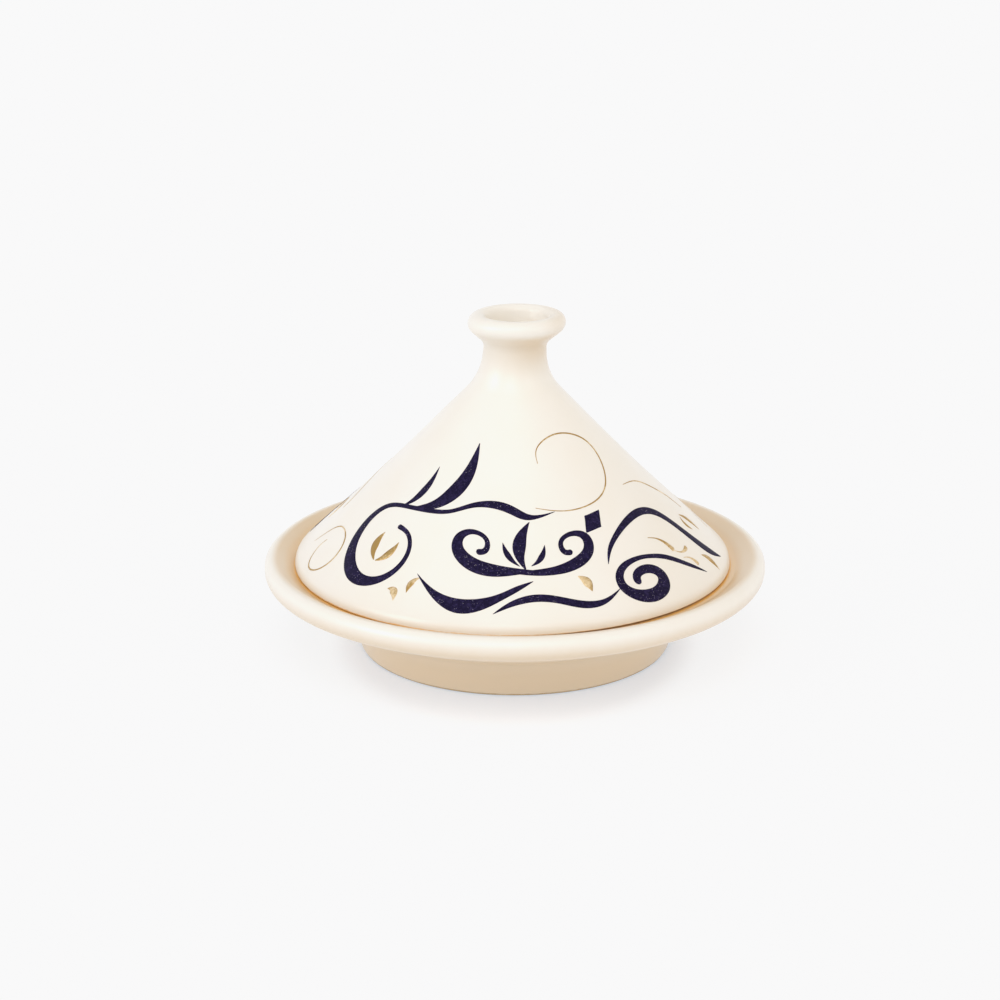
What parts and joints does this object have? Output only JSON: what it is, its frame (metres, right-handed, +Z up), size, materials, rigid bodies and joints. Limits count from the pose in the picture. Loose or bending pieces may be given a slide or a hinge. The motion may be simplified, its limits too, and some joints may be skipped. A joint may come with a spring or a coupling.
{
  "type": "tagine pot",
  "caption": "Tagine: round footed serving dish with a rolled rim and inner ledge, and a hollow conical lid with a necked, cup-topped knob that lifts off.",
  "frame": {"origin": "centre of the foot ring, on the surface the pot stands on", "axes": "+Z up along the axis that the dish and the lid are turned about; the front of the painted decoration faces -Y"},
  "size_m": [0.28, 0.28, 0.189],
  "materials": {
    "dish_glaze": "satin",
    "lid_glaze": "satin",
    "navy_enamel": "satin",
    "gold_lustre": "satin"
  },
  "bodies": {
    "dish": {"base_dish": "dish_glaze"},
    "lid": {"conical_lid": "lid_glaze"}
  },
  "joints": [
    {"name": "lid_lift", "type": "slide", "parent": "dish", "child": "lid", "axis": [0, 0, 1], "range_m": [0, 0.16]}
  ]
}
